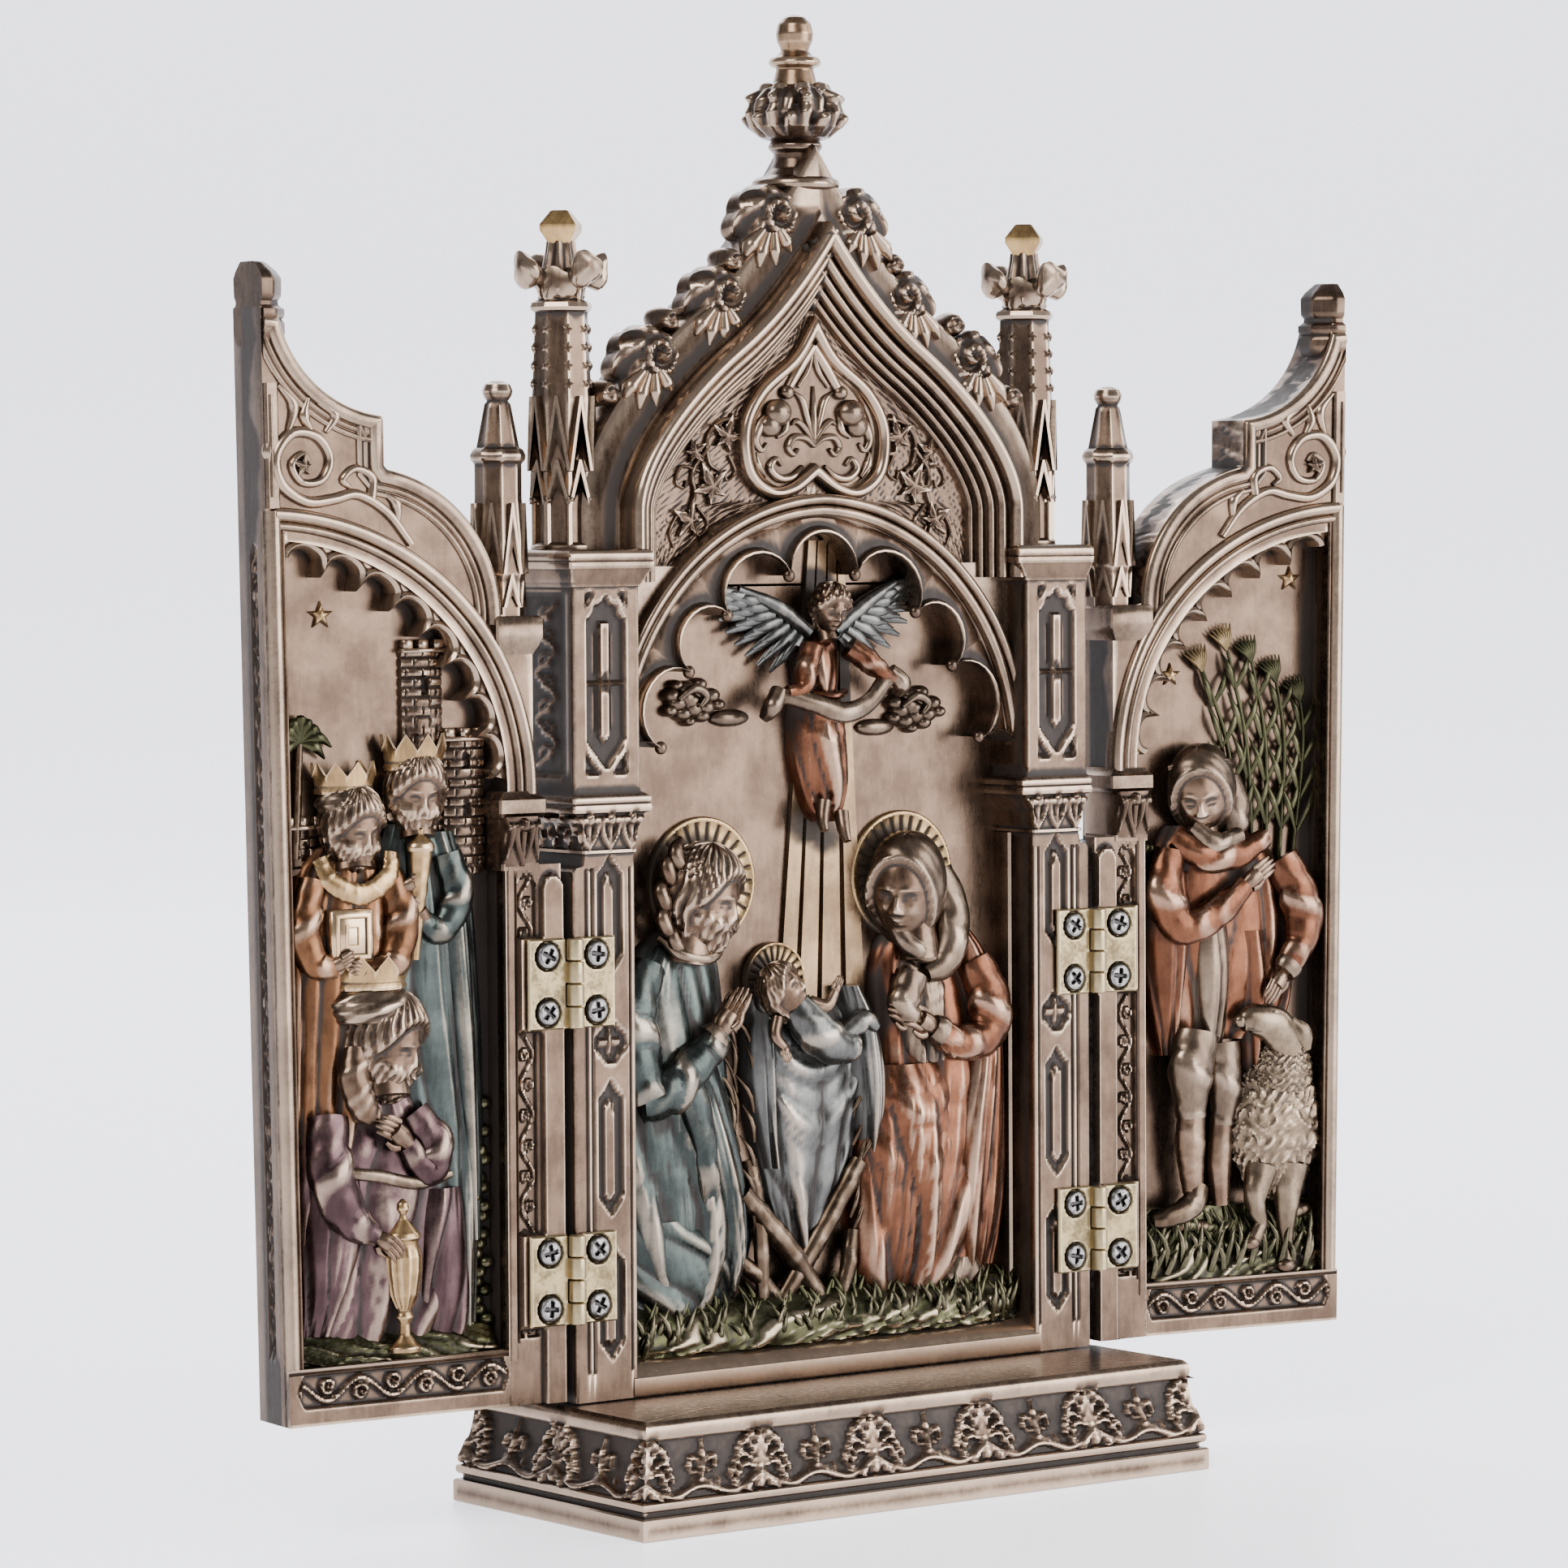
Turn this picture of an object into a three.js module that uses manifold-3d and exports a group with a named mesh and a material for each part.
// Miniature folding triptych altarpiece: a cast shrine on a plinth, with two hinged wings that stand open.
// Millimetres, X to the right, Y to the back, Z up. The origin is the centre of the plinth's underside.

import * as THREE from "three";
import { mergeVertices } from "three/addons/utils/BufferGeometryUtils.js";
import Module from "manifold-3d";

const wasm = await Module();
wasm.setup();

// ---- Driving dimensions ----

const FIT_GAP = 0.3; // between pieces that rest on each other
const JOIN_TOLERANCE = 0.02; // facets that differ by less are one where solids meet
const PLINTH_HEIGHT = 20.9;
const PLINTH_HALF_WIDTH = 66.4;
const PLINTH_HALF_DEPTH = 30.2;

const FRONT = -1.9; // front plane of the shrine's piers
const BACK = 16.5; // flat back of the shrine
const GROUND = 8.6; // relief ground inside the arch
const GABLE_GROUND = 6; // ground of the gable around the medallion
const SHRINE_BOTTOM = PLINTH_HEIGHT + FIT_GAP;
const PIER_OUTER = 60.8;
const PIER_INNER = 47;
const PIER_CENTRE = 52.6;
const CAPITAL_BOTTOM = 121.6;
const ABACUS_TOP = 133.2;
const CORNICE_BOTTOM = 169.9;
const CORNICE_TOP = 176.3;
const GABLE_HALF_WIDTH = 46; // outer roll of the gable at its foot
const GABLE_APEX = 237;
const ARCH_CENTRE = 135; // height of the centres of the pointed arch
const ARCH_RADIUS = 51.3;
const ARCH_OFFSET = 1.5; // each arc's centre lies this far past the middle
const PINNACLE_X = 54.5;
const PINNACLE_Y = 9.4;
const FINIAL_Y = 10.4;
const FINIAL_FOOT = 243.5;

const PIN_X = 61.6; // hinge axes
const PIN_Y = -3.6;
const LEAF_BACK = 1.4; // behind the hinge axis
const LEAF_THICKNESS = 0.8;
const LEAF_REACH = 9.4;
const KNUCKLE_RADIUS = 1.6;
const HINGE_HEIGHT = 16.5;
const HINGE_LEVELS = { upper: 89.7, lower: 35.9 };
const SCREW_REACH = 5.3;
const SCREW_HEAD_RADIUS = 2.4;
const SCREW_SHANK_RADIUS = 1;
const SCREW_DEPTH = 4;

const WING_BOTTOM = 21.8;
const WING_PAD = 1.7; // hinge strip, behind the hinge axis
const WING_FACE = 2.9; // inner face of the frame, behind the hinge axis
const WING_THICKNESS = 12;
const WING_RECESS = 6.6; // depth of the relief ground under the inner face
const WING_EDGE = 58; // free edge at the foot, from the hinge axis
const WING_LEAN = 0.000287; // the free edge leans out by this share for each millimetre of height
const WING_HINGE_EDGE = 1.2;
const WING_PINNACLE_S = 9.3;
const WING_PINNACLE_N = 10.2;
const LEFT_OPEN_PAST_FLAT = 3.2; // degrees
const RIGHT_OPEN_SHORT_OF_FLAT = 7;

// ---- Materials ----

const material = (color, roughness, metalness) =>
  new THREE.MeshStandardMaterial({ color, roughness, metalness });
const bronze = material(0x8a7460, 0.42, 0.75);
const brass = material(0xa08a55, 0.38, 0.85);
const darkSteel = material(0x3c3e42, 0.35, 0.85);

// ---- Solid tools ----

/** A closed body from vertices and triangles, turned so that its faces point out. */
function closedBody(vertices, triangles) {
  const corner = (i) => new THREE.Vector3(...vertices[i]);
  const volume = triangles.reduce((sum, [a, b, c]) => sum + corner(a).dot(corner(b).cross(corner(c))), 0);
  const index = triangles.flatMap(([a, b, c]) => (volume > 0 ? [a, b, c] : [a, c, b]));
  const geometry = new THREE.BufferGeometry();
  geometry.setAttribute("position", new THREE.Float32BufferAttribute(vertices.flat(), 3));
  geometry.setIndex(index);
  return geometry;
}

/** The same body reflected to the other side of x = 0. */
function mirrored(geometry) {
  const count = geometry.index ? geometry.index.count : geometry.getAttribute("position").count;
  const index = geometry.index ? geometry.index.array : [...Array(count).keys()];
  const flipped = [];
  for (let i = 0; i < count; i += 3) {
    flipped.push(index[i], index[i + 2], index[i + 1]);
  }
  const copy = new THREE.BufferGeometry();
  copy.setAttribute("position", geometry.getAttribute("position").clone());
  copy.setIndex(flipped);
  copy.scale(-1, 1, 1);
  return copy;
}

const bothSides = (geometries) => geometries.flatMap((geometry) => [geometry, mirrored(geometry)]);

/** A manifold solid from a closed geometry. */
function solid(geometry) {
  const bare = new THREE.BufferGeometry();
  bare.setAttribute("position", geometry.getAttribute("position"));
  if (geometry.index) bare.setIndex(geometry.index);
  const merged = mergeVertices(bare, 1e-4);
  const vertProperties = new Float32Array(merged.getAttribute("position").array);
  const triVerts = new Uint32Array(merged.index.array);
  return new wasm.Manifold(new wasm.Mesh({ numProp: 3, vertProperties, triVerts }));
}

const join = (geometries) => {
  const whole = geometries.map(solid).reduce((sum, next) => sum.add(next));
  return whole.setTolerance(JOIN_TOLERANCE);
};
const cut = (whole, geometries) => (geometries.length ? whole.subtract(join(geometries)) : whole);

/** A named mesh of a finished solid. */
function piece(name, finished, finish) {
  const { vertProperties, triVerts } = finished.getMesh();
  const geometry = new THREE.BufferGeometry();
  geometry.setAttribute("position", new THREE.BufferAttribute(vertProperties, 3));
  geometry.setIndex(new THREE.BufferAttribute(triVerts, 1));
  geometry.computeVertexNormals();
  const mesh = new THREE.Mesh(geometry, finish);
  mesh.name = name;
  return mesh;
}

/** A flat plate with an outline of [x, z] points, from depth `front` to depth `back`, with optional holes. */
function slab(outline, front, back, holes = []) {
  const points = (list) => list.map(([x, z]) => new THREE.Vector2(x, z));
  const shape = new THREE.Shape(points(outline));
  shape.holes = holes.map((hole) => new THREE.Path(points(hole)));
  const plate = new THREE.ExtrudeGeometry(shape, { depth: back - front, bevelEnabled: false });
  return plate.rotateX(Math.PI / 2).translate(0, back, 0);
}

/** A box between two corners. */
function block([x0, y0, z0], [x1, y1, z1]) {
  const box = new THREE.BoxGeometry(x1 - x0, y1 - y0, z1 - z0);
  return box.translate((x0 + x1) / 2, (y0 + y1) / 2, (z0 + z1) / 2);
}

/** A body through a list of rings that all have the same number of points. */
function loft(rings) {
  const sides = rings[0].length;
  const vertices = rings.flat();
  const triangles = [];
  const last = rings.length - 1;
  for (let ring = 0; ring < last; ring += 1) {
    for (let side = 0; side < sides; side += 1) {
      const a = ring * sides + side;
      const b = ring * sides + ((side + 1) % sides);
      triangles.push([a, b, b + sides], [a, b + sides, a + sides]);
    }
  }
  for (const end of [0, last]) {
    const middle = [0, 1, 2].map((axis) => rings[end].reduce((sum, point) => sum + point[axis], 0) / sides);
    const centre = vertices.push(middle) - 1;
    for (let side = 0; side < sides; side += 1) {
      const a = end * sides + side;
      const b = end * sides + ((side + 1) % sides);
      triangles.push(end === 0 ? [b, a, centre] : [a, b, centre]);
    }
  }
  return closedBody(vertices, triangles);
}

/** A rectangular block whose plan changes with height: levels are [z, xMin, xMax, yMin, yMax]. */
function steppedBlock(levels) {
  return loft(levels.map(([z, x0, x1, y0, y1]) => [[x0, y0, z], [x1, y0, z], [x1, y1, z], [x0, y1, z]]));
}

/** A moulding: a closed section of [across, depth] points swept along a path of [x, z] points. */
function moulding(path, section, closed = false) {
  const count = path.length;
  const rings = path.map(([x, z], i) => {
    const before = closed ? path[(i + count - 1) % count] : path[Math.max(i - 1, 0)];
    const after = closed ? path[(i + 1) % count] : path[Math.min(i + 1, count - 1)];
    const incoming = new THREE.Vector2(x - before[0], z - before[1]).normalize();
    const outgoing = new THREE.Vector2(after[0] - x, after[1] - z).normalize();
    if (incoming.length() === 0) incoming.copy(outgoing);
    if (outgoing.length() === 0) outgoing.copy(incoming);
    const along = incoming.clone().add(outgoing).normalize();
    const stretch = 1 / Math.max(along.dot(incoming), 0.35);
    const reach = section.map(([across]) => across * stretch);
    return section.map(([, depth], k) => [x - along.y * reach[k], depth, z + along.x * reach[k]]);
  });
  if (!closed) return loft(rings);
  const sides = section.length;
  const triangles = [];
  for (let ring = 0; ring < count; ring += 1) {
    for (let side = 0; side < sides; side += 1) {
      const next = ((ring + 1) % count) * sides;
      const a = ring * sides + side;
      const b = ring * sides + ((side + 1) % sides);
      const c = next + side;
      const d = next + ((side + 1) % sides);
      triangles.push([a, b, d], [a, d, c]);
    }
  }
  return closedBody(rings.flat(), triangles);
}

/** A turned body about a vertical axis at (x, y): the profile is [radius, z] from axis to axis. */
function turned(profile, sides, x, y) {
  const points = profile.map(([radius, z]) => new THREE.Vector2(radius, z));
  const body = new THREE.LatheGeometry(points, sides);
  return body.rotateY(Math.PI / sides).rotateX(Math.PI / 2).translate(x, y, 0);
}

/**
 * A turned body whose rings may be lobed: the profile is [radius, z, hollow], and every second corner of
 * a ring stands at `hollow` times the radius.
 */
function turnedLobed(profile, sides, x, y) {
  return loft(profile.map(([radius, z, hollow = 1]) => Array.from({ length: sides }, (_, i) => {
    const angle = (2 * Math.PI * i) / sides;
    const reach = i % 2 ? radius * hollow : radius;
    return [x + reach * Math.cos(angle), y + reach * Math.sin(angle), z];
  })));
}

function ball([x, y, z], [rx, ry, rz], around = 6, up = 4) {
  return new THREE.SphereGeometry(1, around, up).rotateX(Math.PI / 2).scale(rx, ry, rz).translate(x, y, z);
}

/** A straight tapered limb between two points. */
function limb(from, to, startRadius, endRadius, sides = 4) {
  const start = new THREE.Vector3(...from);
  const end = new THREE.Vector3(...to);
  const length = start.distanceTo(end);
  const body = new THREE.CylinderGeometry(endRadius, startRadius, length, sides);
  const turn = new THREE.Quaternion();
  turn.setFromUnitVectors(new THREE.Vector3(0, 1, 0), end.clone().sub(start).normalize());
  const middle = start.add(end).multiplyScalar(0.5);
  return body.applyQuaternion(turn).translate(middle.x, middle.y, middle.z);
}

/**
 * Draped cloth in relief: levels are [z, left, right, rise], and the surface stands `rise` out from the
 * ground, round across its width and ridged by `folds` folds that slant by `slant` turns from level to level.
 */
function drape(levels, ground, folds, slant = 0.12) {
  const columns = 2 * folds;
  const rings = levels.map(([z, left, right, rise], level) => {
    const front = [];
    for (let i = 0; i <= columns; i += 1) {
      const u = i / columns;
      const ridge = 0.86 + 0.14 * Math.cos(2 * Math.PI * (folds * u + slant * level));
      const height = rise * Math.sqrt(Math.sin(Math.PI * (0.06 + 0.88 * u))) * ridge;
      front.push([left + (right - left) * u, ground - height, z]);
    }
    return [...front, [right, ground + 1, z], [left, ground + 1, z]];
  });
  return loft(rings);
}

/** Points on an arc about (cx, cz), between two angles in degrees. */
function arc(cx, cz, radius, from, to, steps, stretch = 1) {
  return Array.from({ length: steps + 1 }, (_, i) => {
    const angle = THREE.MathUtils.degToRad(from + ((to - from) * i) / steps);
    return [cx + radius * Math.cos(angle), cz + radius * stretch * Math.sin(angle)];
  });
}

/** A bow between two points that bulges to the left of the way from a to b by `bulge` of the chord. */
function bow([ax, az], [bx, bz], bulge, steps) {
  return Array.from({ length: steps }, (_, i) => {
    const t = i / steps;
    const rise = 4 * bulge * t * (1 - t);
    return [ax + (bx - ax) * t - (bz - az) * rise, az + (bz - az) * t + (bx - ax) * rise];
  });
}

/** A lobed leaf or star outline about (cx, cz). */
function lobed(cx, cz, radius, lobes, depth, turn = 90) {
  return Array.from({ length: 2 * lobes }, (_, i) => {
    const angle = THREE.MathUtils.degToRad(turn + (180 * i) / lobes);
    const reach = i % 2 ? radius * depth : radius;
    return [cx + reach * Math.cos(angle), cz + reach * Math.sin(angle)];
  });
}

/** A tall panel outline with a pointed head and foot. */
function lancet(cx, bottom, top, halfWidth) {
  const point = halfWidth * 1.2;
  return [
    [cx, bottom], [cx + halfWidth, bottom + point], [cx + halfWidth, top - point],
    [cx, top], [cx - halfWidth, top - point], [cx - halfWidth, bottom + point],
  ];
}

const flip = (points) => points.map(([x, z]) => [-x, z]).reverse();

// ---- Plinth ----

/** Rectangular plinth: slab, groove, bead, a frieze that flares out to its foot, and a top slab. */
function plinth() {
  const insetLevels = [
    [0, 0], [4.2, 0], [4.2, 1.2], [5.2, 1.2], [5.4, 0.3], [6.9, 0.4],
    [9.5, 2], [17.4, 4.1], [17.4, 2.9], [20.2, 2.5], [PLINTH_HEIGHT, 3],
  ];
  const levels = insetLevels.map(([z, inset]) => {
    const x = PLINTH_HALF_WIDTH - inset;
    const y = PLINTH_HALF_DEPTH - inset;
    return [z, -x, x, -y, y];
  });
  return join([steppedBlock(levels), ...frieze()]);
}

/** Palmettes and buds that alternate on the front and the sides of the frieze. */
function frieze() {
  const ornaments = [];
  const bay = PLINTH_HALF_WIDTH / 5 - 0.35;
  for (let i = -4; i <= 4; i += 1) {
    ornaments.push(friezeLeaf(i * bay, i % 2 !== 0).translate(0, -PLINTH_HALF_DEPTH + 2.6, 0));
  }
  for (const side of [-1, 1]) {
    for (const i of [-1, 0, 1]) {
      const leaf = friezeLeaf(i * bay, i === 0).rotateZ(side * Math.PI / 2);
      ornaments.push(leaf.translate(side * (PLINTH_HALF_WIDTH - 2.6), 0, 0));
    }
    const corner = [PLINTH_HALF_WIDTH - 4.4, PLINTH_HALF_DEPTH - 4.4];
    ornaments.push(friezeLeaf(side * corner[0], true, -side).translate(0, -PLINTH_HALF_DEPTH + 2.6, 0));
    const onSide = friezeLeaf(-side * corner[1], true, side).rotateZ(side * Math.PI / 2);
    ornaments.push(onSide.translate(side * (PLINTH_HALF_WIDTH - 2.6), 0, 0));
  }
  return ornaments;
}

/** One ornament at x: a palmette with wide petals (or its half to one side), or a slim bud. */
function friezeLeaf(x, isPalmette, halfTo = 0) {
  const petals = isPalmette ? [-56, 0, 56].filter((angle) => angle * halfTo >= 0) : [0];
  const foot = 8.2;
  const reach = isPalmette ? 6.8 : 5.8;
  const outline = [[x - 1.3, foot], [x + 1.3, foot]];
  for (const angle of [...petals].reverse()) {
    for (const [turn, share] of isPalmette ? [[28, 0.66], [0, 1]] : [[32, 0.7], [-32, 0.7]]) {
      const a = THREE.MathUtils.degToRad(90 - angle - turn);
      outline.push([x + reach * share * Math.cos(a), foot + reach * share * Math.sin(a)]);
    }
  }
  const plate = slab(outline, -1.1, 2.5);
  const places = plate.getAttribute("position");
  for (let i = 0; i < places.count; i += 1) {
    places.setY(i, places.getY(i) + (places.getZ(i) - foot) * 0.24);
  }
  return plate;
}

// ---- Shrine: gable, arch and piers ----

/** Right half of the gable's ogee line, from its foot to the apex, moved outward by `offset`. */
function gableHalf(offset, foot, steps) {
  const lower = new THREE.CubicBezierCurve(
    new THREE.Vector2(GABLE_HALF_WIDTH, 183), new THREE.Vector2(GABLE_HALF_WIDTH, 193.5),
    new THREE.Vector2(33, 206.3), new THREE.Vector2(22, 214));
  const upper = new THREE.CubicBezierCurve(
    new THREE.Vector2(22, 214), new THREE.Vector2(13, 220.3),
    new THREE.Vector2(5, 229.5), new THREE.Vector2(0, GABLE_APEX));
  const points = [[GABLE_HALF_WIDTH + offset, foot]];
  for (const curve of [lower, upper]) {
    const first = curve === lower ? 0 : 1;
    for (let i = first; i <= steps; i += 1) {
      const at = curve.getPoint(i / steps);
      const along = curve.getTangent(i / steps);
      points.push([at.x + along.y * offset, at.y - along.x * offset]);
    }
  }
  const [lastX, lastZ] = points.pop();
  const along = upper.getTangent(1);
  points.push([0, lastZ - (along.y / along.x) * (0 - lastX) * -1]);
  return points;
}

function gableLine(offset, foot, steps = 4) {
  const right = gableHalf(offset, foot, steps).filter(([x]) => x >= 0);
  return [...right, ...flip(right).slice(1)];
}

/** The pointed arch line from the right springing to the left one, `inset` inside its outer edge. */
function archLine(inset, steps = 5) {
  const radius = ARCH_RADIUS - inset;
  const apexAngle = THREE.MathUtils.radToDeg(Math.acos(ARCH_OFFSET / radius));
  const right = arc(-ARCH_OFFSET, ARCH_CENTRE, radius, -3, apexAngle, steps);
  return [...right, ...flip(right).slice(1)];
}

/** Tips of the cusps on the right half of the arch, from the top down. */
const CUSPS = [[7.75, 171], [22.2, 163.8], [31, 153.5], [37.5, 139.7], [45.2, 131]];

/** The multifoil edge from the right springing over the top to the left one: a lobe between two cusps. */
function foilLine(steps = 3) {
  const tips = [...CUSPS].reverse();
  const right = tips.slice(0, -1).flatMap((tip, i) => bow(tip, tips[i + 1], -0.46, steps));
  const top = arc(0, CUSPS[0][1], CUSPS[0][0], 0, 180, 4);
  return [...right, ...top, ...flip(right)];
}

function gable() {
  const rollSection = [
    [0, 9], [0, FRONT + 0.8], [-1.6, FRONT], [-3.8, FRONT + 3],
    [-6.2, FRONT + 3], [-9.4, GABLE_GROUND], [-9.4, 9],
  ];
  const bandFoot = gableLine(8.4, 172, 3);
  const bandTop = bandFoot.filter(([, z]) => z < FINIAL_FOOT + 1);
  return [
    slab(bandTop, 3.4, BACK, [gableLine(-5, 174, 3)]),
    moulding(gableLine(0, 170.2, 3), rollSection.map(([across, depth]) => [-across, depth])),
    ...gableTracery(),
    ...bothSides(crockets()),
  ];
}

/** The tear-shaped medallion with its bulbs, chevron and leaves, and the vine leaves beside it. */
function gableTracery() {
  const rimHalf = [[6, 208.5], [14, 203.4], [16.2, 196], [12, 187.4], [6, 186.4]];
  const rim = [[0, 217.5], ...rimHalf, [0, 190.5], ...flip(rimHalf)];
  const ring = [[-1.1, GABLE_GROUND + 1], [-0.7, 3.6], [0.7, 3.6], [1.1, GABLE_GROUND + 1]];
  const bar = [[-0.9, GABLE_GROUND + 1], [-0.9, 4.4], [0.9, 4.4], [0.9, GABLE_GROUND + 1]];
  return [
    moulding(rim, ring, true),
    moulding([[6, 205], [0.6, 212.5], [-5, 205]], bar),
    ...bothSides([
      ball([9.4, 4.9, 200.3], [4.4, 2, 3], 5, 3),
      moulding([[12.6, 199], [13, 195], [9.6, 194.4]], bar),
      moulding([[3.4, 196.5], [8, 190], [2.6, 190]], bar),
      ...vine(),
    ]),
    slab([[0, 195.6], [4.4, 204.4], [1.8, 203], [0, 206], [-1.8, 203], [-4.4, 204.4]], 4.6, GABLE_GROUND + 1),
  ];
}

/** Three pointed leaves, right side. */
function vine() {
  const leaves = [[20, 196.4, 3.6, 100], [22.6, 187.2, 4.4, 80], [28, 181.4, 4, 60]];
  return leaves.map(([x, z, radius, turn]) =>
    slab(lobed(x, z, radius, 3, 0.36, turn), 4.7, GABLE_GROUND + 1),
  );
}

/** Three rounded leaf crockets on the right slope. */
function crockets() {
  const leaves = [[10.4, 237, 7.4, 6.8], [22, 222, 7.4, 6.4], [38, 210.4, 8, 7]];
  return leaves.map(([x, z, rx, rz]) => ball([x, FINIAL_Y, z], [rx, 5.6, rz]));
}

/** Ring base, baluster neck, leaf bulb, cone, collar and ball on the apex of the gable. */
function finial() {
  const foot = FINIAL_FOOT;
  const profile = [
    [4, foot - 8], [8.2, foot], [8.2, foot + 1.6], [4.2, foot + 5],
    [10, foot + 10.6, 0.86], [11, foot + 14, 0.84], [9, foot + 18, 0.72], [3.6, foot + 22.6],
    [5, foot + 23.8], [2.8, foot + 26], [3.6, foot + 28.8], [1.6, foot + 32.5],
  ];
  return turnedLobed(profile, 8, 0, FINIAL_Y);
}

/** Large octagonal pinnacle on the right cornice, with gablets, collar, leafy cross and diamond tip. */
function pinnacle() {
  const profile = [
    [5.2, 174], [5.2, 189], [6.6, 192], [5.1, 219.4], [5.9, 220.4], [4.4, 222],
    [11.6, 227, 0.36], [11, 231.2, 0.36], [3.4, 231.8], [4.8, 235.4], [1, 238],
  ];
  return turnedLobed(profile, 8, PINNACLE_X, PINNACLE_Y);
}

/** Right pier: pilaster, leafy capital, abacus, tracery block and cornice. */
function pier() {
  const leaves = [-3, 3].map((x) => slab(lobed(PIER_CENTRE + x, 125.4, 3.2, 3, 0.5), FRONT - 0.9, FRONT + 2));
  return [
    block([PIER_INNER, FRONT, SHRINE_BOTTOM + 1], [PIER_OUTER, BACK, 119]),
    block([PIER_INNER, FRONT, 118], [PIER_OUTER - 2.2, BACK, CAPITAL_BOTTOM + 1]),
    steppedBlock([
      [CAPITAL_BOTTOM, 47.1, 58.4, FRONT, BACK], [128.4, 44.6, 60.2, FRONT - 0.5, BACK],
      [128.8, 43.4, 61.2, FRONT - 1, BACK], [131.4, 43.4, 61.2, FRONT - 1, BACK],
      [132, 45.4, 60.4, FRONT, BACK], [ABACUS_TOP + 1, 45.4, 60.4, FRONT, BACK],
    ]),
    block([45.6, FRONT, ABACUS_TOP], [60.4, BACK, CORNICE_BOTTOM + 1]),
    steppedBlock([
      [CORNICE_BOTTOM, 45, 60.6, FRONT, BACK], [172.6, 43, 61.5, FRONT - 1, BACK],
      [175.6, 42.7, 61.7, FRONT - 1.1, BACK],
      [CORNICE_TOP, 43.5, 61, FRONT - 0.3, BACK],
    ]),
    ...leaves,
  ];
}

/** Sunk tracery of the right pier: lancets, a quatrefoil and the tracery block's window. */
function pierSinkings() {
  const depth = FRONT + 0.9;
  const front = FRONT - 1;
  const cross = lobed(PIER_CENTRE, 86.6, 3.9, 4, 0.62);
  return [
    slab(lancet(PIER_CENTRE, 99, 121, 2.9), front, depth),
    slab(cross, front, depth),
    slab(lancet(PIER_CENTRE, 55, 80, 2.9), front, depth),
    slab(lancet(PIER_CENTRE, 28.6, 50, 2.9), front, depth),
    slab(lancet(PIER_CENTRE + 0.6, 141.5, 168, 3.8), front, depth, [
      [[51.9, 153.5], [54.5, 153.5], [54.5, 163], [51.9, 163]],
    ]),
    slab([[48.4, 136], [52.2, 136], [48.4, 140.6]], front, depth),
    slab([[54.2, 136], [58, 136], [58, 140.6]], front, depth),
  ];
}

/** The walls, arch and foils that hold the relief. */
function shrineBody() {
  const wallOutline = [
    [-PIER_OUTER + 1, SHRINE_BOTTOM], [PIER_OUTER - 1, SHRINE_BOTTOM],
    [PIER_OUTER - 1, CORNICE_BOTTOM + 2], [-PIER_OUTER + 1, CORNICE_BOTTOM + 2],
  ];
  const archSection = [[0, 9], [0, 2.4], [1.4, 1.6], [3.4, 2], [4, 3.2], [4, 9]];
  const sill = steppedBlock([
    [SHRINE_BOTTOM, -PIER_OUTER, PIER_OUTER, FRONT, BACK],
    [26.4, -PIER_OUTER + 0.4, PIER_OUTER - 0.4, FRONT, BACK],
    [29, -PIER_INNER - 1, PIER_INNER + 1, 3.4, BACK],
  ]);
  return [
    slab(wallOutline, GROUND, BACK),
    ...bothSides([slab([[30, 172.5], [46, 150], [46, 172.5]], 4, GROUND + 1)]),
    slab(gableLine(-4, 172, 3), GABLE_GROUND, BACK),
    slab([...archLine(1), ...foilLine().reverse()], 3, GROUND + 1),
    moulding(archLine(0).filter(([, z]) => z > ABACUS_TOP - 3), archSection),
    sill,
  ];
}

// ---- Shrine: the nativity relief ----

const face = (x, z, radius, lift) => ball([x, GROUND - lift, z], [radius * 0.8, radius * 0.7, radius]);
const halo = (x, z, radius) => slab(lobed(x, z, radius, 5, 0.96), GROUND - 1.1, GROUND + 1);

/** Kneeling bearded man at the left, in profile, with joined hands. */
function kneelingMan() {
  return [
    halo(-24.4, 112, 11),
    ball([-24.6, GROUND - 4.4, 111.4], [8.6, 4.4, 8.4]),
    ball([-18.6, GROUND - 4.2, 104.4], [4.2, 3, 4.4], 4, 3),
    drape([
      [104.5, -37, -24, 3.4], [98, -45.5, -20.5, 6], [76, -46.9, -19, 7.2],
      [56, -46.9, -13.5, 7], [34, -43, -22, 4],
    ], GROUND, 4),
    limb([-37.5, GROUND - 6.6, 92], [-30, GROUND - 8, 79.5], 4.4, 4.2),
    limb([-31, GROUND - 8, 80], [-19.5, GROUND - 7.4, 89], 4.2, 2.6),
    limb([-19.8, GROUND - 7.2, 88], [-13.6, GROUND - 6.4, 95.5], 2.5, 1, 4),
  ];
}

/** Seated veiled woman at the right, in a long mantle. */
function seatedWoman() {
  return [
    halo(22.4, 113.6, 12.2),
    ball([22.6, GROUND - 4, 111.6], [9.4, 5, 10.6]),
    face(19.6, 108.4, 7, 6.4),
    drape([
      [105, 18, 32, 4], [97, 15.4, 39.5, 6.6], [78, 15.8, 46, 7.4],
      [56, 12.8, 46.9, 8.2], [30.4, 13, 36, 4],
    ], GROUND, 4, -0.1),
    limb([33.5, GROUND - 7.2, 81.5], [18.5, GROUND - 7.6, 86.5], 3.2, 2),
  ];
}

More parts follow.
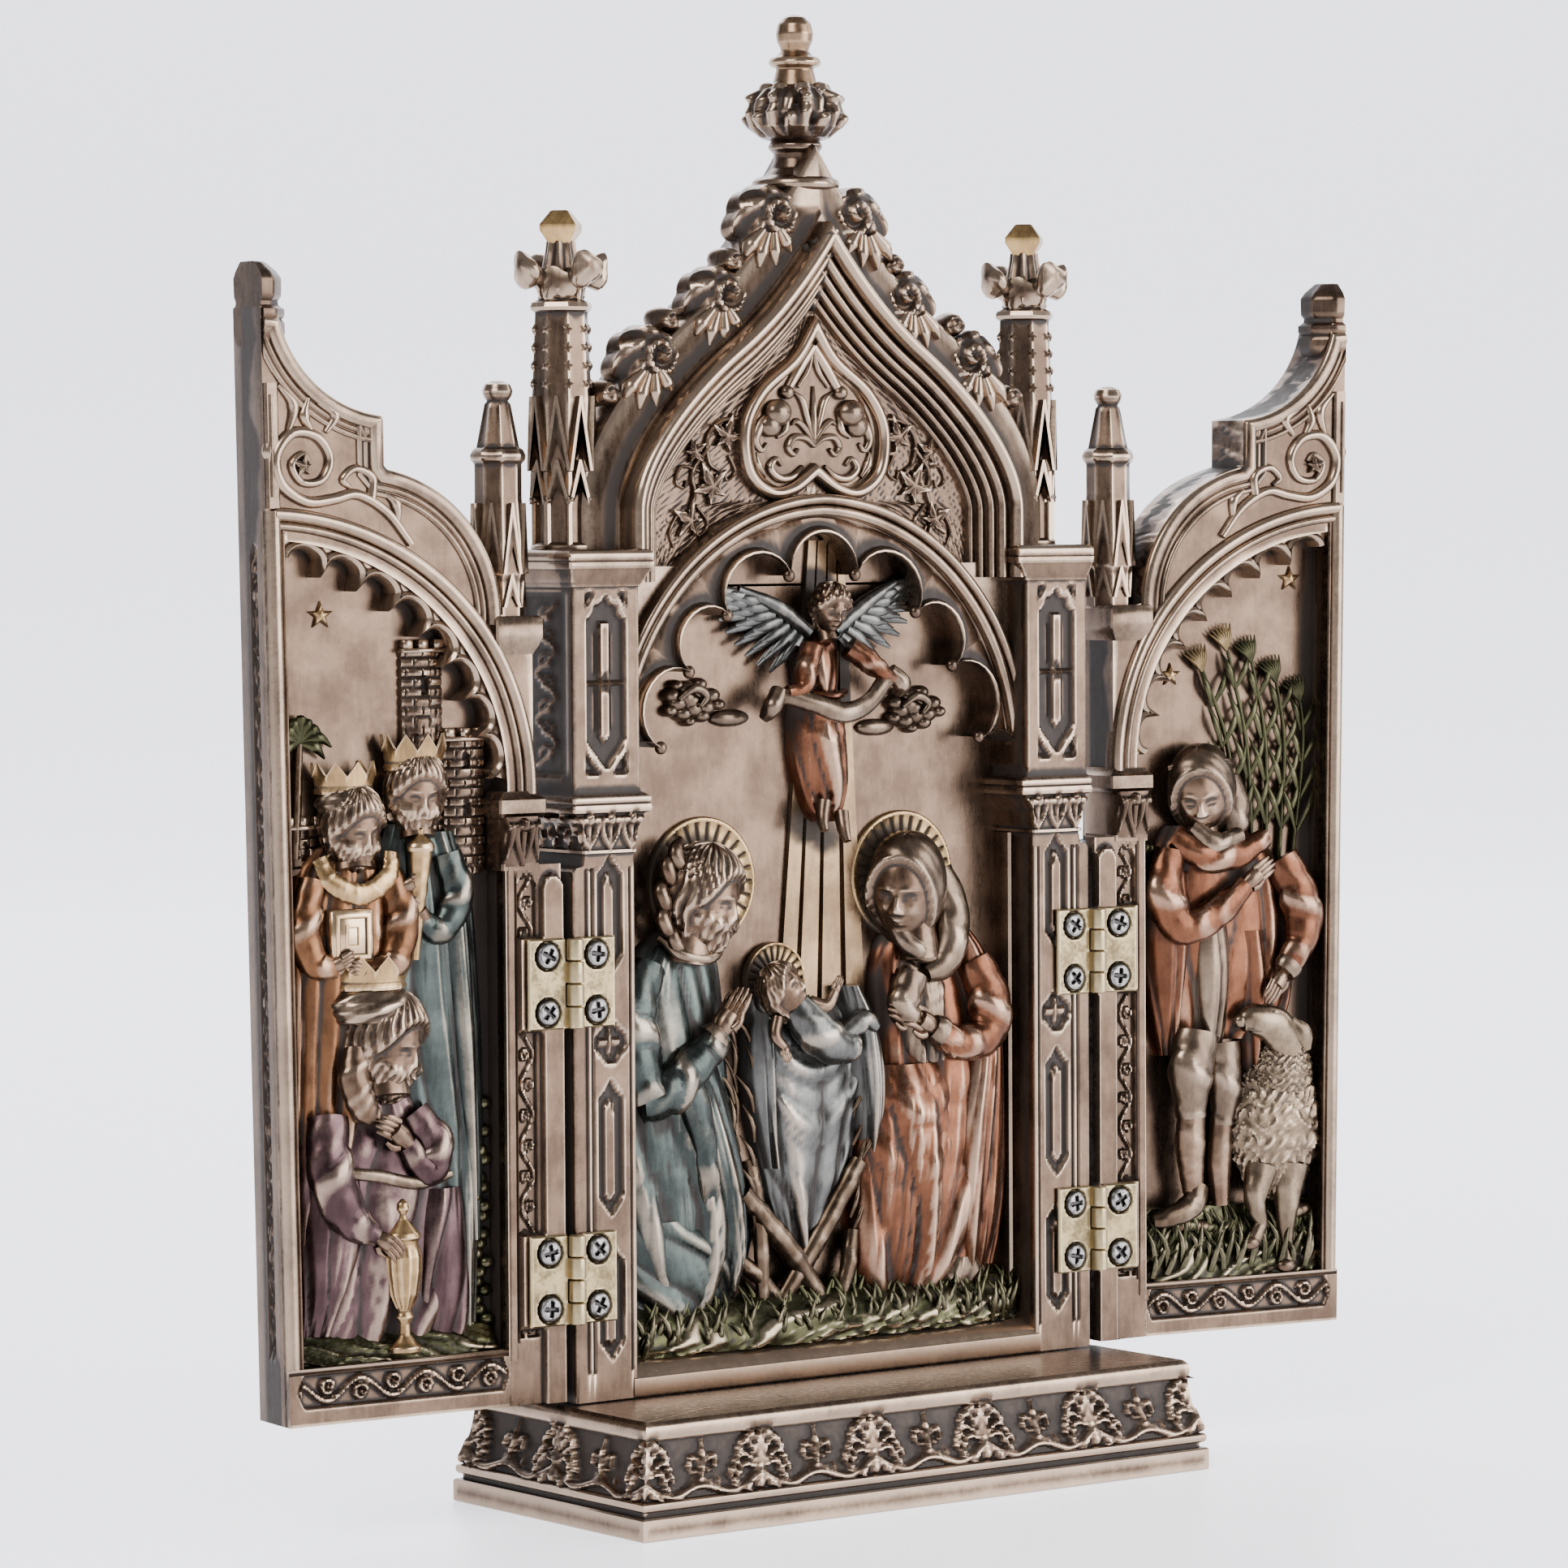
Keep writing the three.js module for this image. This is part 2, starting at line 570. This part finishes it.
/** Child in cloth on a log manger, with straw. */
function childAndManger() {
  const logs = [[-15, 41, 6, 55], [-17, 47, 12, 44]];
  return [
    halo(-8.6, 95, 6.8),
    ball([-9, GROUND - 4.6, 93], [4.8, 4, 4.9], 5, 4),
    ball([3, GROUND - 4.8, 84.6], [12, 4.8, 7.6], 5, 4),
    drape([
      [83, -13.4, 15.6, 6.2], [72, -13.6, 17, 7.6], [54, -9.4, 8.4, 6.6], [38, -2.6, 1.4, 4.4],
    ], GROUND, 3, 0.2),
    ...logs.map(([x0, z0, x1, z1]) => limb([x0, GROUND - 1.1, z0], [x1, GROUND - 1.1, z1], 2.4, 2.2, 4)),
  ];
}

/** Flying angel with a banner, over rays of light and between two clouds. */
function angelAndClouds() {
  const feathers = slab(
    [[2, 156], [8, 154.6], [11, 158], [15, 160], [17, 164.4], [19.6, 168.4], [10, 166.4], [2, 161.6]],
    GROUND - 3, GROUND + 1);
  const rays = [-6.4, 2].map((x) =>
    slab([[x - 3, 88], [x + 3, 88], [x * 0.3 + 1.4, 172], [x * 0.3 - 1.4, 172]], GROUND - 0.8, GROUND + 1));
  const clouds = [[-28.5, 147.4, 8], [26, 145, 8.8]];
  return [
    ...rays,
    ball([0.4, GROUND - 4.8, 163.6], [3.6, 3, 4.2], 5, 4),
    drape([
      [161.6, -2.4, 4, 3], [156, -6, 7.4, 4.8], [147, -6, 7.2, 4.8], [136, -5.4, 8.6, 4.4], [126, -1, 4, 2],
    ], GROUND, 2),
    moulding([[-14, 147.6], [0.6, 145.4], [14.4, 149]], [
      [-1.5, GROUND - 2], [-1.5, GROUND - 6], [1.5, GROUND - 6.4], [1.5, GROUND - 2]]),
    ...bothSides([limb([5.4, GROUND - 4.4, 156], [13, GROUND - 3.6, 149], 2, 1.5, 4)]),
    ...bothSides([feathers]),
    ...clouds.map(([x, z, radius]) => ball([x, GROUND, z], [radius, 2.4, radius * 0.62], 5, 3)),
  ];
}

/** A strip of tufted grass: small wedges side by side. */
function grass(from, to, bottom, top, ground, rise) {
  const tufts = Math.round((to - from) / 9.4);
  const outline = [[from, bottom]];
  for (let i = 0; i <= 2 * tufts; i += 1) {
    const x = to + ((from - to) * i) / (2 * tufts);
    outline.push([x, i % 2 ? top : top - 2.2]);
  }
  outline.splice(1, 0, [to, bottom]);
  return slab(outline, ground - rise, ground + 1);
}

function shrine() {
  const relief = [
    ...kneelingMan(), ...seatedWoman(), ...childAndManger(), ...angelAndClouds(),
    grass(-PIER_INNER - 0.5, PIER_INNER + 0.5, 27, 36, GROUND, 6),
  ];
  const frame = join([
    ...shrineBody(),
    ...bothSides(pier()),
    ...gable(),
    finial(),
    ...bothSides([pinnacle()]),
  ]);
  const whole = frame.add(join(relief));
  return cut(whole, [...bothSides(pierSinkings()), ...screwHoles()]);
}

/** Blind holes in the piers for the hinge screws. */
function screwHoles() {
  const holes = [];
  for (const bottom of Object.values(HINGE_LEVELS)) {
    for (const z of screwHeights(bottom)) {
      const reach = PIN_X - SCREW_REACH;
      holes.push(boreAlongY(reach, z, SCREW_SHANK_RADIUS * 1.8, FRONT - 1, FRONT + SCREW_DEPTH));
    }
  }
  return bothSides(holes);
}

function boreAlongY(x, z, radius, from, to, sides = 4) {
  return limb([x, from, z], [x, to, z], radius, radius, sides);
}

const screwHeights = (bottom) => [bottom + HINGE_HEIGHT * 0.19, bottom + HINGE_HEIGHT * 0.81];

// ---- Wings: built flat in (s, n, z), s out from the hinge axis, n behind it ----

const WING_BACK = WING_FACE + WING_THICKNESS;
const WING_GROUND = WING_FACE + WING_RECESS;
const WING_ARCH = { centre: 58.6, spring: 133, halfWidth: 53, height: 51.5 };

/** The stepped top edge, from the hinge side's cornice to the free edge, moved inward by `inset`. */
function wingTopEdge(inset) {
  const round = arc(40, 164.2, 27.2 - inset, 180, 101, 4);
  const sweep = arc(33.5, 222, 21.7 + inset, -84, -12, 3);
  return [...round, [35.4 + inset, 191 - inset * 0.8], [35.4 + inset, 200 - inset], ...sweep];
}

/** The quarter arch from the hinge side up to the free edge, `inset` inside its outer edge. */
function wingArchLine(inset, steps = 6) {
  const { centre, spring, halfWidth, height } = WING_ARCH;
  const stretch = (height - inset) / (halfWidth - inset);
  return arc(centre, spring, halfWidth - inset, 180, 90, steps, stretch);
}

/** The opening over the relief: straight below, scalloped under the quarter arch. */
function wingOpening() {
  const tips = wingArchLine(8.4, 7);
  const scallops = tips.slice(0, -1).flatMap((tip, i) => bow(tip, tips[i + 1], 0.34, 2));
  return [[54.6, 32], [54.6, 178], ...scallops.reverse(), [12.8, 131], [12.8, 32]];
}

function wingPlate() {
  const outline = [
    [WING_HINGE_EDGE, WING_BOTTOM], [WING_EDGE, WING_BOTTOM],
    [WING_EDGE, 219.4], ...wingTopEdge(0).reverse(),
    [12.8, 164.4], [6.2, 160], [6.2, 119], [WING_HINGE_EDGE, 118],
  ];
  return [slab(outline, WING_FACE + 1, WING_BACK)];
}

/** Rolls along the top edge and the quarter arch, the free-edge jamb, the rails, cornice and capital. */
function wingMouldings() {
  const roll = [[0.2, 6], [0.2, WING_FACE + 0.8], [1.5, WING_FACE], [4.8, WING_FACE + 1], [5, 6]];
  const archRoll = [[0, 6], [0.4, WING_FACE - 0.1], [3.4, WING_FACE - 0.1], [4, 6]];
  const turnedOver = (section) => section.map(([across, depth]) => [-across, depth]);
  const archPath = wingArchLine(0).map(([s, z]) => [Math.min(s, WING_EDGE - 0.2), z]);
  const [face, deep] = [WING_FACE, WING_FACE + 4];
  const leaves = [7.4, 11.6].map((s) => slab(lobed(s, 124.6, 2.6, 3, 0.5), face - 1.4, deep));
  return [
    moulding([[12.8, 162], ...wingTopEdge(0), [WING_EDGE - 0.4, 217.6]], turnedOver(roll)),
    moulding([[5.6, ABACUS_TOP - 1], ...archPath], turnedOver(archRoll)),
    block([54.6, face, WING_BOTTOM + 0.5], [WING_EDGE, deep, 183]),
    block([WING_EDGE - 2.4, face + 0.3, 184], [WING_EDGE, deep, 206]),
    block([10.8, face, 30], [12.8, deep, 121]),
    block([WING_HINGE_EDGE, face, WING_BOTTOM], [WING_EDGE, deep, 32]),
    block([WING_HINGE_EDGE, WING_PAD, WING_BOTTOM + 1], [5.8, deep, 118]),
    ...Object.values(HINGE_LEVELS).map((z) =>
      block([2, WING_PAD, z - 0.4], [10.6, deep, z + HINGE_HEIGHT + 0.4]),
    ),
    steppedBlock([
      [120, 6.2, 13.4, face, deep], [127.4, 4.5, 14.4, face - 1, deep], [131.6, 4.5, 14.4, face - 1, deep],
      [132.8, 6, 13, face, deep],
    ]),
    steppedBlock([
      [158.6, 6, 13.6, face, WING_BACK],
      [160.8, 4.6, 14.6, face - 0.8, WING_BACK],
      [164.5, 4.6, 14.6, face - 0.8, WING_BACK],
    ]),
    ...leaves,
    ...bottomScroll(),
  ];
}

/** Waving scroll on the bottom rail. */
function bottomScroll() {
  const [from, to, z, waves] = [15.5, 55, 28.2, 4];
  const at = (t) => [from + (to - from) * t, z + 1.7 * Math.sin(waves * Math.PI * t)];
  const path = Array.from({ length: 2 * waves + 1 }, (_, i) => at(i / (2 * waves)));
  const stem = [[-0.9, WING_FACE + 0.6], [0, WING_FACE - 0.7], [0.9, WING_FACE + 0.6]];
  return [moulding(path, stem)];
}

/** Flat scroll in the spandrel over the quarter arch. */
function spandrelScroll() {
  const front = WING_FACE + 0.1;
  const section = [[-1.1, WING_FACE + 1.6], [0, front - 0.2], [1.1, WING_FACE + 1.6]];
  const spiral = Array.from({ length: 7 }, (_, i) => {
    const angle = THREE.MathUtils.degToRad(-150 + i * 60);
    const radius = 6.2 - i * 0.4;
    return [50.6 + radius * Math.cos(angle), 191.6 + radius * Math.sin(angle)];
  });
  return [
    moulding([[30.5, 177.8], [39, 186.2], [44, 186.4], ...spiral], section),
    slab(lobed(50.6, 191.6, 2.6, 3, 0.5), front, WING_FACE + 2),
    slab(lobed(43.4, 190, 2.4, 3, 0.5, 130), front, WING_FACE + 2),
  ];
}

/** Small octagonal pinnacle over the hinge side, and the half knob at the free edge. */
function wingPinnacle() {
  const profile = [
    [4.6, 162], [5.1, 172], [5.2, 180, 0.84], [4.4, 186], [4.4, 192], [5.1, 193.4], [4.2, 194.8],
    [2.4, 202.6], [2.8, 204.4], [0.6, 206.8],
  ];
  return turnedLobed(profile, 8, WING_PINNACLE_S, WING_PINNACLE_N);
}

function halfKnob() {
  const middle = WING_FACE + WING_THICKNESS / 2;
  const octagon = (radius, z) => arc(WING_EDGE - 0.4, middle, radius, 90, 270, 4).map(([s, n]) => [s, n, z]);
  return loft([
    octagon(5.4, 213.4), octagon(6, 215),
    octagon(6, 219), octagon(5, 219.8), octagon(5.6, 224.6), octagon(3, 227.4),
  ]);
}

/** Blind tracery and a plain border sunk into the outer face. */
function wingOuterSinkings() {
  const arch = wingArchLine(6, 6);
  const inner = WING_EDGE - 4;
  const outline = [[inner, 30], [inner, arch[6][1]], ...arch.slice(0, -1).reverse(), [12, 30]];
  const floor = WING_EDGE - 0.7;
  const strip = [[WING_EDGE + 0.5, 34], [floor, 35], [floor, 176], [WING_EDGE + 0.5, 177]];
  return [
    slab(outline, WING_BACK - 1.2, WING_BACK + 1),
    slab(strip, WING_FACE + 4.6, WING_FACE + 7.6),
  ];
}

/** Lean the free edge: every s grows with height above the foot. */
function leanOut(geometry) {
  const places = geometry.getAttribute("position");
  for (let i = 0; i < places.count; i += 1) {
    const s = places.getX(i);
    const grown = s > 14 ? s + (s - 14) * WING_LEAN * 1.32 * (places.getZ(i) - WING_BOTTOM) : s;
    places.setX(i, grown);
  }
  return geometry;
}

/** The back corner of the free edge is drawn in, so that closing wings pass each other. */
function freeEdgeTrim() {
  const inner = WING_EDGE - 1.6;
  const outer = WING_EDGE + 10;
  const trim = slab([[inner, 10], [outer, 10], [outer, 240], [inner, 240]], 0, 1);
  const places = trim.getAttribute("position");
  for (let i = 0; i < places.count; i += 1) {
    const atBack = places.getY(i) > 0.5;
    const near = places.getX(i) < WING_EDGE;
    places.setY(i, atBack ? WING_BACK + 2 : WING_FACE + 3);
    if (near) places.setX(i, atBack ? WING_EDGE - 1.8 : WING_EDGE + 0.05);
  }
  return trim;
}

// ---- Wings: reliefs ----

/** Five-pointed star on a wing's ground. */
const star = (s, z, radius = 2.1) => slab(lobed(s, z, radius, 5, 0.42), WING_GROUND - 0.8, WING_GROUND + 1);

/** Bearded head in a round cap with a pointed crown, half sunk in the ground: `size` is the head's height. */
function crownedHead(s, z, size, lift) {
  const profile = [
    [0.16, -0.5], [0.4, -0.16], [0.4, 0.2], [0.54, 0.36], [0.6, 0.86, 0.74], [0.3, 0.66],
  ];
  const rings = profile.map(([radius, height, hollow]) => [radius * size, z + height * size, hollow]);
  return turnedLobed(rings, 6, s, WING_GROUND - lift);
}

/** Three robed kings with gifts, before a castle and a palm. */
function kingsRelief() {
  const ground = WING_GROUND;
  const urn = [[0, 34.4], [3, 34.4], [1, 38], [4, 52], [3.6, 55], [0, 60]];
  const horn = [[0, 104], [1.6, 104], [2.8, 121], [0, 125.4]];
  const castle = [[14.4, 126], [30, 126], [30, 158], [22, 158], [22, 144], [14.4, 144]];
  const frond = (angle) => {
    const a = THREE.MathUtils.degToRad(angle);
    const tip = [51.4 + 5 * Math.cos(a), ground - 0.8, 142.6 + 4.4 * Math.sin(a)];
    return limb([51.4, ground - 0.8, 142.6], tip, 1.1, 0.4, 3);
  };
  return [
    slab(castle, ground - 1.6, ground + 1),
    star(45.2, 165),
    limb([51, ground, 128], [51.4, ground, 143], 1.1, 0.8),
    ...[30, 90, 150].map(frond),
    drape([[127, 17.4, 27, 2.6], [116, 16, 31, 4.4], [88, 15, 27, 4.4], [67, 18, 24, 1.6]], ground, 2),
    crownedHead(28.4, 133, 12.4, 2),
    turned(horn, 5, 28.6, ground - 4.8),
    drape(
      [[124, 36, 54.5, 3.2], [110, 30, 54.6, 4.8], [96, 32, 54.6, 4.4], [60, 48, 54.6, 2]],
      ground, 3, -0.1,
    ),
    crownedHead(40, 128, 12, 2),
    block([38.8, ground - 7, 103], [46.2, ground - 2, 112.4]),
    drape([
      [91, 30, 42, 4], [80, 25.6, 48, 6], [58, 17.4, 52, 6.2], [34.6, 18.4, 52.4, 5.4],
    ], ground, 4),
    crownedHead(36, 89.6, 15.6, 3),
    limb([43, ground - 6, 76], [31, ground - 7.2, 75.4], 2.6, 1.8, 4),
    turned(urn, 6, 32.6, ground - 6.2),
  ];
}

/** Shepherd in a cloak with a hand on the breast, a sheep beside them, reeds and two stars. */
function shepherdRelief() {
  const ground = WING_GROUND;
  const reed = (s, z, angle, length) => {
    const a = THREE.MathUtils.degToRad(angle);
    const tip = [s + length * Math.cos(a), ground - 0.8, z + length * Math.sin(a)];
    return limb([s, ground - 0.6, z], tip, 1.2, 0.4, 3);
  };
  const blades = [
    [44, 118, 112, 44], [46, 118, 84, 34], [42, 120, 132, 24], [48, 122, 72, 22],
  ];
  return [
    star(49.6, 169.2),
    star(22.6, 150.4),
    ...blades.map((blade) => reed(...blade)),
    ball([27.6, ground - 4, 128], [6.8, 5, 9.4]),
    drape([[120, 24, 42, 4], [110, 19.6, 50, 5.6], [94, 17.6, 52.4, 5.6], [77, 20, 36, 3]], ground, 3),
    limb([44, ground - 5.2, 106], [33.4, ground - 6.6, 110.8], 3, 2),
    limb([49.6, ground - 4.6, 104], [43, ground - 5.8, 89], 4, 2.4),
    limb([28, ground - 3.6, 86], [25.4, ground - 3.4, 64], 4.6, 3.2),
    limb([25.4, ground - 3.2, 64], [27, ground - 3.2, 49], 3, 2.4),
    limb([28, ground - 3, 48.4], [18, ground - 3.4, 45.6], 2.6, 1.2, 4),
    limb([36.6, ground - 2.6, 84], [34.6, ground - 2.2, 58], 2.6, 1.6, 4),
    ball([45, ground - 3.6, 62.6], [9.4, 5.2, 14]),
    limb([45.6, ground - 5, 77], [36.6, ground - 5.6, 83.4], 5.4, 2.4),
    limb([46, ground - 4.6, 79], [51, ground - 4, 75.6], 2, 2, 3),
    limb([44.6, ground - 4, 52], [42.6, ground - 3.6, 33.4], 2.6, 1.5, 4),
    limb([36.6, ground - 3, 56], [39.4, ground - 2.8, 42.6], 2.2, 1.5, 4),
  ];
}

/** One wing in its flat frame, with its own relief. */
function wing(relief) {
  const opening = slab(wingOpening(), WING_FACE - 3, WING_GROUND);
  const frame = join([...wingPlate(), ...wingMouldings(), ...spandrelScroll()].map(leanOut));
  const open = frame.subtract(solid(leanOut(opening)));
  const whole = open.add(join(relief.map(leanOut))).add(join([wingPinnacle(), leanOut(halfKnob())]));
  const holes = Object.values(HINGE_LEVELS).flatMap(screwHeights).map((z) =>
    boreAlongY(SCREW_REACH, z, SCREW_SHANK_RADIUS * 1.8, 0, WING_PAD + SCREW_DEPTH));
  const cuts = [...wingOuterSinkings().map(leanOut), leanOut(freeEdgeTrim()), ...holes];
  return cut(whole, cuts);
}

// ---- Hinges and screws, in a hinge frame whose axis is x = 0, y = 0 ----

/** One hinge leaf that reaches to +x, with every second knuckle, first or second from the top. */
function hingeLeaf(bottom, firstFromTop) {
  const front = LEAF_BACK - LEAF_THICKNESS;
  const clear = KNUCKLE_RADIUS + FIT_GAP;
  const segment = HINGE_HEIGHT / 4;
  const parts = [block([clear, front, bottom], [LEAF_REACH, LEAF_BACK, bottom + HINGE_HEIGHT])];
  for (const i of firstFromTop ? [1, 3] : [0, 2]) {
    const low = bottom + i * segment + FIT_GAP / 2;
    const high = bottom + (i + 1) * segment - FIT_GAP / 2;
    parts.push(knuckle(low, high, clear + 0.4));
  }
  const bore = (SCREW_HEAD_RADIUS + FIT_GAP) * 1.2;
  const holes = screwHeights(bottom).map((z) => boreAlongY(SCREW_REACH, z, bore, -2, 3));
  return cut(join(parts), holes);
}

/** One rolled knuckle about the hinge axis, with the web that runs back to the leaf. */
function knuckle(low, high, reach) {
  const round = arc(0, 0, KNUCKLE_RADIUS, 80, 330, 3);
  const section = [...round, [reach, LEAF_BACK - LEAF_THICKNESS], [reach, LEAF_BACK - 0.02]];
  return loft([low, high].map((z) => section.map(([x, y]) => [x, y, z])));
}

/** Oval head on a pointed shank, driven along +y. */
function screw(z) {
  const seat = LEAF_BACK;
  const profile = [
    [0, -seat - SCREW_DEPTH + 1], [SCREW_SHANK_RADIUS, -seat], [SCREW_HEAD_RADIUS, -seat],
    [SCREW_HEAD_RADIUS * 0.9, -seat + 1], [0, -seat + 1.3],
  ];
  const body = turned(profile, 5, 0, 0).rotateX(Math.PI / 2);
  return solid(body.translate(SCREW_REACH, 0, z));
}

// ---- Assembly ----

const altarpiece = new THREE.Group();
altarpiece.add(piece("plinth", plinth(), bronze));
altarpiece.add(piece("shrine", shrine(), bronze));

for (const side of ["left", "right"]) {
  const isLeft = side === "left";
  const mirrorForLeft = (finished) => (isLeft ? mirroredSolid(finished) : finished);
  const mirrorForRight = (finished) => (isLeft ? finished : mirroredSolid(finished));
  const wingFrame = new THREE.Group();
  wingFrame.position.set(isLeft ? -PIN_X : PIN_X, PIN_Y, 0);
  const turn = isLeft ? -LEFT_OPEN_PAST_FLAT : -RIGHT_OPEN_SHORT_OF_FLAT;
  wingFrame.rotation.z = THREE.MathUtils.degToRad(turn);
  const shrineFrame = new THREE.Group();
  shrineFrame.position.copy(wingFrame.position);
  const relief = isLeft ? kingsRelief() : shepherdRelief();
  wingFrame.add(piece(`${side}_wing`, mirrorForLeft(wing(relief)), bronze));
  for (const [level, bottom] of Object.entries(HINGE_LEVELS)) {
    const hinge = `hinge_${side}_${level}`;
    wingFrame.add(piece(`${hinge}_wing_leaf`, mirrorForLeft(hingeLeaf(bottom, false)), brass));
    shrineFrame.add(piece(`${hinge}_shrine_leaf`, mirrorForRight(hingeLeaf(bottom, true)), brass));
    screwHeights(bottom).forEach((z, i) => {
      const place = i === 0 ? "low" : "top";
      wingFrame.add(piece(`screw_${side}_${level}_wing_${place}`, mirrorForLeft(screw(z)), darkSteel));
      shrineFrame.add(piece(`screw_${side}_${level}_shrine_${place}`, mirrorForRight(screw(z)), darkSteel));
    });
  }
  altarpiece.add(wingFrame, shrineFrame);
}

/** The reflection of a finished solid at x = 0. */
function mirroredSolid(finished) {
  const { vertProperties, triVerts } = finished.getMesh();
  const geometry = new THREE.BufferGeometry();
  geometry.setAttribute("position", new THREE.BufferAttribute(vertProperties, 3));
  geometry.setIndex(new THREE.BufferAttribute(triVerts, 1));
  return solid(mirrored(geometry));
}

export default altarpiece;
